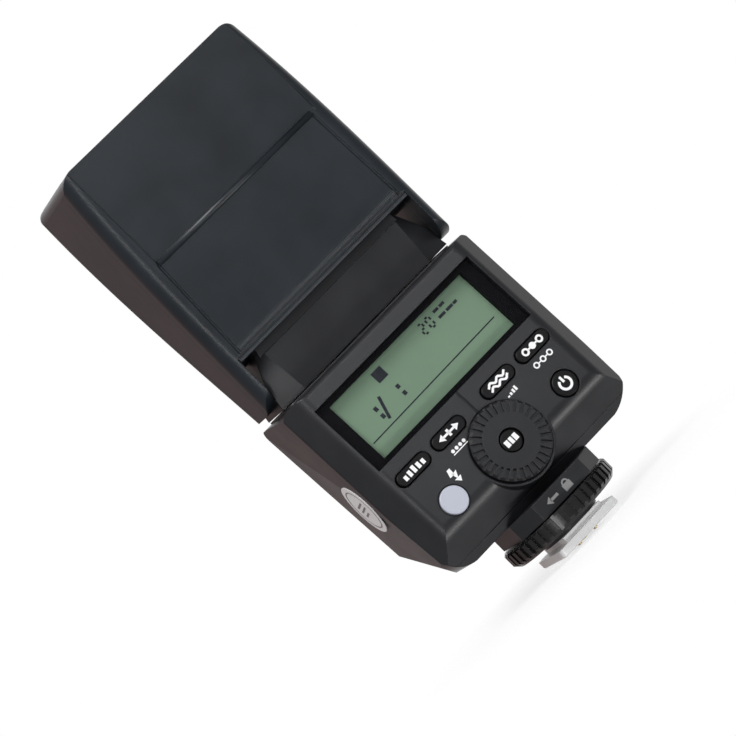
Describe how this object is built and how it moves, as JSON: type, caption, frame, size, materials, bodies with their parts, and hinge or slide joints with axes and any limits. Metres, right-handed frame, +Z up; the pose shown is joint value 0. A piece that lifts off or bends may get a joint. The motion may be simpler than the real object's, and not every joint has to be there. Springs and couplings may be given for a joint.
{
  "type": "camera speedlight flash",
  "caption": "Small black on-camera flash with a tilting, swivelling zoom head, rear display, button row, select dial and locking shoe foot.",
  "frame": {"origin": "centre of the underside of the hot-shoe foot's plate", "axes": "+Z up the flash to the lens end of the head, +Y forwards to the subject, +X right as seen from behind; the control panel faces -Y"},
  "size_m": [0.0624, 0.0513, 0.1409],
  "materials": {
    "shell_black": "satin",
    "head_black": "satin",
    "key_black": "satin",
    "frame_black": "matte",
    "lamp_white": "satin",
    "window_clear": "glossy",
    "lcd_green": "satin",
    "board_green": "satin",
    "part_black": "satin",
    "coil_copper": "satin",
    "bright_steel": "satin",
    "screw_steel": "satin",
    "spring_steel": "satin",
    "pin_brass": "satin",
    "cell_wrap": "glossy",
    "lamp_lens": "glossy",
    "window_red": "glossy",
    "window_dark": "glossy",
    "label_white": "matte",
    "card_white": "matte",
    "diffuser_clear": "ribbed",
    "mirror_silver": "polished",
    "tube_glass": "clear"
  },
  "bodies": {
    "body": {"rear_shell": "shell_black", "front_shell": "shell_black", "lcd_window": "window_clear", "lcd_frame": "frame_black", "lcd_module": "lcd_green", "control_board": "board_green", "tact_switches": "part_black", "dial_encoder": "part_black", "main_board": "board_green", "inverter_transformer": "coil_copper", "battery_tray": "frame_black", "battery_cells": "cell_wrap", "battery_contacts": "spring_steel", "af_lamp": "lamp_lens", "af_window": "window_red", "sensor_window": "window_dark", "usb_port": "frame_black", "side_label": "label_white", "shoe_mount": "shell_black", "shoe_foot": "bright_steel", "foot_insulator": "frame_black", "foot_screws": "screw_steel"},
    "battery_door": {"battery_door": "shell_black"},
    "door_latch": {"door_latch": "shell_black"},
    "select_dial": {"select_dial": "key_black", "dial_clip": "frame_black"},
    "set_button": {"set_button": "key_black"},
    "mode_button": {"mode_button": "key_black"},
    "zoom_button": {"zoom_button": "key_black"},
    "sync_button": {"sync_button": "key_black"},
    "group_button": {"group_button": "key_black"},
    "power_button": {"power_button": "key_black"},
    "test_button": {"test_button": "lamp_white"},
    "clamp_plate": {"clamp_plate": "bright_steel"},
    "lock_ring": {"lock_ring": "key_black"},
    "lock_pin": {"lock_pin": "bright_steel"},
    "contact_pins": {"contact_pins": "pin_brass"},
    "neck": {"neck_rear_shell": "shell_black", "neck_front_shell": "shell_black", "swivel_clip": "frame_black", "tilt_pins": "bright_steel", "friction_washers": "spring_steel", "main_capacitor": "part_black"},
    "head": {"head_rear_cover": "head_black", "head_housing": "head_black", "head_front_cover": "head_black", "head_screws": "screw_steel", "lens_frame": "head_black", "lens": "diffuser_clear", "zoom_motor": "part_black", "guide_rods": "bright_steel", "trigger_board": "board_green", "trigger_coil": "coil_copper"},
    "zoom_carriage": {"zoom_carriage": "frame_black", "reflector": "mirror_silver", "flash_tube": "tube_glass"},
    "zoom_screw": {"zoom_screw": "bright_steel"},
    "bounce_card": {"bounce_card": "card_white"},
    "wide_panel": {"wide_panel": "diffuser_clear"}
  },
  "joints": [
    {"name": "swivel", "type": "hinge", "parent": "body", "child": "neck", "pos_m": [0, 0.0105, 0.0682], "axis": [0, 0, 1], "range_deg": [-180, 90]},
    {"name": "tilt", "type": "hinge", "parent": "neck", "child": "head", "pos_m": [0, 0.0105, 0.088], "axis": [-1, 0, 0], "range_deg": [0, 90]},
    {"name": "mode_press", "type": "slide", "parent": "body", "child": "mode_button", "axis": [0, 0.9912, -0.1323], "range_m": [0, 0.0005], "stiffness_N_per_m": 2000, "springref_m": -0.0004},
    {"name": "zoom_press", "type": "slide", "parent": "body", "child": "zoom_button", "axis": [0, 0.9912, -0.1323], "range_m": [0, 0.0005], "stiffness_N_per_m": 2000, "springref_m": -0.0004},
    {"name": "sync_press", "type": "slide", "parent": "body", "child": "sync_button", "axis": [0, 0.9912, -0.1323], "range_m": [0, 0.0005], "stiffness_N_per_m": 2000, "springref_m": -0.0004},
    {"name": "group_press", "type": "slide", "parent": "body", "child": "group_button", "axis": [0, 0.9912, -0.1323], "range_m": [0, 0.0005], "stiffness_N_per_m": 2000, "springref_m": -0.0004},
    {"name": "power_press", "type": "slide", "parent": "body", "child": "power_button", "axis": [0, 0.9912, -0.1323], "range_m": [0, 0.0005], "stiffness_N_per_m": 2000, "springref_m": -0.0004},
    {"name": "test_press", "type": "slide", "parent": "body", "child": "test_button", "axis": [0, 0.9912, -0.1323], "range_m": [0, 0.0005], "stiffness_N_per_m": 2000, "springref_m": -0.0004},
    {"name": "set_press", "type": "slide", "parent": "body", "child": "set_button", "axis": [0, 0.9912, -0.1323], "range_m": [0, 0.0005], "stiffness_N_per_m": 2000, "springref_m": -0.0004},
    {"name": "dial_turn", "type": "hinge", "parent": "body", "child": "select_dial", "pos_m": [0, -0.01183, 0.02725], "axis": [0, -0.9912, 0.1323], "continuous": true},
    {"name": "battery_door_hinge", "type": "hinge", "parent": "body", "child": "battery_door", "pos_m": [0.02922, 0.005, 0.0295], "axis": [-0.076, 0.9971, 0], "range_deg": [0, 95]},
    {"name": "latch_slide", "type": "slide", "parent": "battery_door", "child": "door_latch", "axis": [0, 0, -1], "range_m": [0, 0.002]},
    {"name": "ring_turn", "type": "hinge", "parent": "clamp_plate", "child": "lock_ring", "pos_m": [0, 0, 0.007], "axis": [0, 0, 1], "range_deg": [0, 150]},
    {"name": "clamp_slide", "type": "slide", "parent": "body", "child": "clamp_plate", "axis": [0, 0, -1], "range_m": [0, 0.0012]},
    {"name": "lock_pin_slide", "type": "slide", "parent": "body", "child": "lock_pin", "axis": [0, 0, -1], "range_m": [0, 0.0012]},
    {"name": "contact_slide", "type": "slide", "parent": "body", "child": "contact_pins", "axis": [0, 0, 1], "range_m": [0, 0.0007], "stiffness_N_per_m": 1500, "springref_m": -0.0005},
    {"name": "zoom_screw_turn", "type": "hinge", "parent": "head", "child": "zoom_screw", "pos_m": [-0.016, 0.0084, 0.12], "axis": [0, 0, 1], "range_deg": [0, 1200]},
    {"name": "zoom_slide", "type": "slide", "parent": "head", "child": "zoom_carriage", "axis": [0, 0, -1], "range_m": [0, 0.01]},
    {"name": "bounce_card_slide", "type": "slide", "parent": "head", "child": "bounce_card", "axis": [0, 0, 1], "range_m": [0, 0.032]},
    {"name": "wide_panel_slide", "type": "slide", "parent": "head", "child": "wide_panel", "axis": [0, 0, 1], "range_m": [0, 0.032]}
  ],
  "couplings": [
    {"joint": "ring_turn", "follows": "clamp_slide", "rad_per_m": 2181.4},
    {"joint": "lock_pin_slide", "follows": "clamp_slide", "ratio": 0.9999},
    {"joint": "zoom_screw_turn", "follows": "zoom_slide", "rad_per_m": 2094.2}
  ]
}
